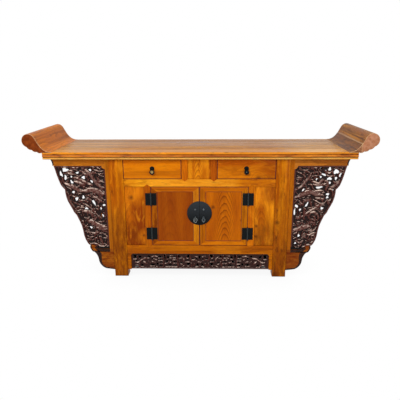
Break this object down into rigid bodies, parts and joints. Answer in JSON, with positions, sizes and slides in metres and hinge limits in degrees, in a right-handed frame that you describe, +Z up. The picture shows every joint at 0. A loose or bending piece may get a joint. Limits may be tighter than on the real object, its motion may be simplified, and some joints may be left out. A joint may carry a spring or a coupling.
{
  "type": "console buffet",
  "caption": "Long elm altar sideboard with scrolled everted top ends, drawers over a hinged-door cupboard, pierced carved side spandrels and apron, and iron hardware",
  "frame": {"origin": "On the floor plane under the middle of the top, which is the bottom centre of the bounding box.", "axes": "+X runs along the length to the viewer's right, +Y runs from the front to the back, so the doors face -Y, and +Z is up."},
  "size_m": [2.1154, 0.54, 0.9305],
  "materials": {
    "elm_case": "glossy amber lacquer over elm",
    "elm_top": "worn satin lacquer over elm planks",
    "elm_inner": "unlacquered inside timber",
    "carved_wood": "dark stained carving with worn pale crests",
    "iron": "blackened iron, slightly mottled",
    "brass": "dull worn brass"
  },
  "bodies": {
    "case": {"top_front_edge": "elm_top", "top_back_edge": "elm_top", "top_panel": "elm_top", "top_flange_left": "elm_top", "top_flange_right": "elm_top", "leg_front_left": "elm_case", "leg_front_right": "elm_case", "leg_back_left": "elm_case", "leg_back_right": "elm_case", "front_mid_rail": "elm_case", "front_bottom_rail": "elm_case", "back_top_rail": "elm_case", "back_bottom_rail": "elm_case", "drawer_bay_panel": "elm_case", "side_panel_left": "elm_case", "side_rail_left": "elm_case", "drawer_divider_left": "elm_case", "hinge_post_left": "elm_case", "front_panel_left": "elm_case", "apron_end_left": "elm_case", "spandrel_frame_left": "elm_case", "rear_spandrel_left": "elm_case", "spandrel_carving_left": "carved_wood", "hinge_post_leaf_left_lower": "iron", "hinge_post_leaf_left_upper": "iron", "side_panel_right": "elm_case", "side_rail_right": "elm_case", "drawer_divider_right": "elm_case", "hinge_post_right": "elm_case", "front_panel_right": "elm_case", "apron_end_right": "elm_case", "spandrel_frame_right": "elm_case", "rear_spandrel_right": "elm_case", "spandrel_carving_right": "carved_wood", "hinge_post_leaf_right_lower": "iron", "hinge_post_leaf_right_upper": "iron", "back_panel": "elm_inner", "cabinet_floor": "elm_inner", "dust_board": "elm_inner", "apron_carving": "carved_wood"},
    "door_left": {"door_frame_left": "elm_case", "door_panel_left": "elm_case", "medallion_left": "iron", "hinge_door_leaf_left_lower": "iron", "hinge_door_leaf_left_upper": "iron"},
    "pendant_left": {"medallion_pendant_left": "iron"},
    "drawer_left": {"drawer_front_left": "elm_case", "drawer_box_left": "elm_inner", "pull_plate_left": "iron"},
    "pull_left": {"pull_drop_left": "brass"},
    "door_right": {"door_frame_right": "elm_case", "door_panel_right": "elm_case", "medallion_right": "iron", "hinge_door_leaf_right_lower": "iron", "hinge_door_leaf_right_upper": "iron"},
    "pendant_right": {"medallion_pendant_right": "iron"},
    "drawer_right": {"drawer_front_right": "elm_case", "drawer_box_right": "elm_inner", "pull_plate_right": "iron"},
    "pull_right": {"pull_drop_right": "brass"}
  },
  "joints": [
    {"name": "door_left_hinge", "type": "hinge", "parent": "case", "child": "door_left", "pos_m": [-0.30125, -0.2458, 0.40825], "axis": [0, 0, -1], "range_deg": [0, 110]},
    {"name": "pendant_left_swing", "type": "hinge", "parent": "door_left", "child": "pendant_left", "pos_m": [-0.0255, -0.2533, 0.40925], "axis": [-1, 0, 0], "range_deg": [0, 80]},
    {"name": "drawer_left_slide", "type": "slide", "parent": "case", "child": "drawer_left", "axis": [0, -1, 0], "range_m": [0, 0.3]},
    {"name": "pull_left_swing", "type": "hinge", "parent": "drawer_left", "child": "pull_left", "pos_m": [-0.287, -0.2533, 0.71475], "axis": [-1, 0, 0], "range_deg": [0, 80]},
    {"name": "door_right_hinge", "type": "hinge", "parent": "case", "child": "door_right", "pos_m": [0.30125, -0.2458, 0.40825], "axis": [0, 0, 1], "range_deg": [0, 110]},
    {"name": "pendant_right_swing", "type": "hinge", "parent": "door_right", "child": "pendant_right", "pos_m": [0.0255, -0.2533, 0.40925], "axis": [-1, 0, 0], "range_deg": [0, 80]},
    {"name": "drawer_right_slide", "type": "slide", "parent": "case", "child": "drawer_right", "axis": [0, -1, 0], "range_m": [0, 0.3]},
    {"name": "pull_right_swing", "type": "hinge", "parent": "drawer_right", "child": "pull_right", "pos_m": [0.287, -0.2533, 0.71475], "axis": [-1, 0, 0], "range_deg": [0, 80]}
  ]
}
